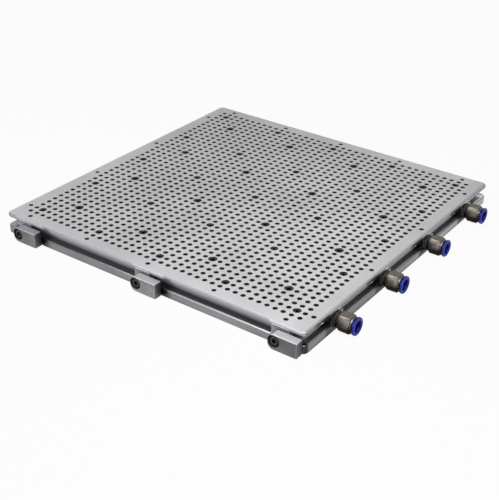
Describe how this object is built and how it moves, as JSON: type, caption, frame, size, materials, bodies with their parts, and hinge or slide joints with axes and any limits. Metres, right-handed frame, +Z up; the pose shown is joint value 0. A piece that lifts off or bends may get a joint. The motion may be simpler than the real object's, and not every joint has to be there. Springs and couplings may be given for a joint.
{
  "type": "vacuum table",
  "caption": "Square vacuum table with a perforated top, a clamping groove all round, swivelling edge stops and push-in hose fittings.",
  "frame": {"origin": "centre of the underside of the base plate", "axes": "+Z up through the perforated face, edge stops on the -Y side, hose fittings on the +X side"},
  "size_m": [0.4445, 0.4315, 0.026],
  "materials": {
    "milled_aluminium": "milled",
    "ground_aluminium": "brushed",
    "bar_aluminium": "satin",
    "black_steel": "black oxide",
    "spring_steel": "bright",
    "sleeve_brass": "turned",
    "nickel_brass": "nickel plated",
    "dark_washer": "matte",
    "nitrile": "matte",
    "blue_plastic": "moulded"
  },
  "bodies": {
    "table": {"base_plate": "milled_aluminium", "top_plate": "ground_aluminium", "plate_screws": "black_steel", "port_plugs": "black_steel", "perimeter_seal": "nitrile", "zone_seals": "nitrile", "pivot_screws": "black_steel", "seal_washers": "dark_washer", "tube_seals": "nitrile", "grab_rings": "spring_steel", "guide_sleeves": "sleeve_brass", "pivot_bush_left": "spring_steel", "pivot_bush_middle": "spring_steel", "pivot_bush_right": "spring_steel", "disc_spring_left": "spring_steel", "disc_spring_middle": "spring_steel", "disc_spring_right": "spring_steel", "fitting_body_1": "nickel_brass", "fitting_body_2": "nickel_brass", "fitting_body_3": "nickel_brass", "fitting_body_4": "nickel_brass"},
    "stop_left": {"stop_bar_left": "bar_aluminium"},
    "stop_middle": {"stop_bar_middle": "bar_aluminium"},
    "stop_right": {"stop_bar_right": "bar_aluminium"},
    "collar_1": {"release_collar_1": "blue_plastic"},
    "collar_2": {"release_collar_2": "blue_plastic"},
    "collar_3": {"release_collar_3": "blue_plastic"},
    "collar_4": {"release_collar_4": "blue_plastic"}
  },
  "joints": [
    {"name": "stop_left_swivel", "type": "hinge", "parent": "table", "child": "stop_left", "pos_m": [-0.18, -0.2165, 0.011], "axis": [0, -1, 0], "range_deg": [0, 180]},
    {"name": "stop_middle_swivel", "type": "hinge", "parent": "table", "child": "stop_middle", "pos_m": [0, -0.2165, 0.011], "axis": [0, -1, 0], "range_deg": [0, 180]},
    {"name": "stop_right_swivel", "type": "hinge", "parent": "table", "child": "stop_right", "pos_m": [0.18, -0.2165, 0.011], "axis": [0, -1, 0], "range_deg": [0, 180]},
    {"name": "collar_1_press", "type": "slide", "parent": "table", "child": "collar_1", "axis": [-1, 0, 0], "range_m": [0, 0.0014], "stiffness_N_per_m": 1500},
    {"name": "collar_2_press", "type": "slide", "parent": "table", "child": "collar_2", "axis": [-1, 0, 0], "range_m": [0, 0.0014], "stiffness_N_per_m": 1500},
    {"name": "collar_3_press", "type": "slide", "parent": "table", "child": "collar_3", "axis": [-1, 0, 0], "range_m": [0, 0.0014], "stiffness_N_per_m": 1500},
    {"name": "collar_4_press", "type": "slide", "parent": "table", "child": "collar_4", "axis": [-1, 0, 0], "range_m": [0, 0.0014], "stiffness_N_per_m": 1500}
  ]
}
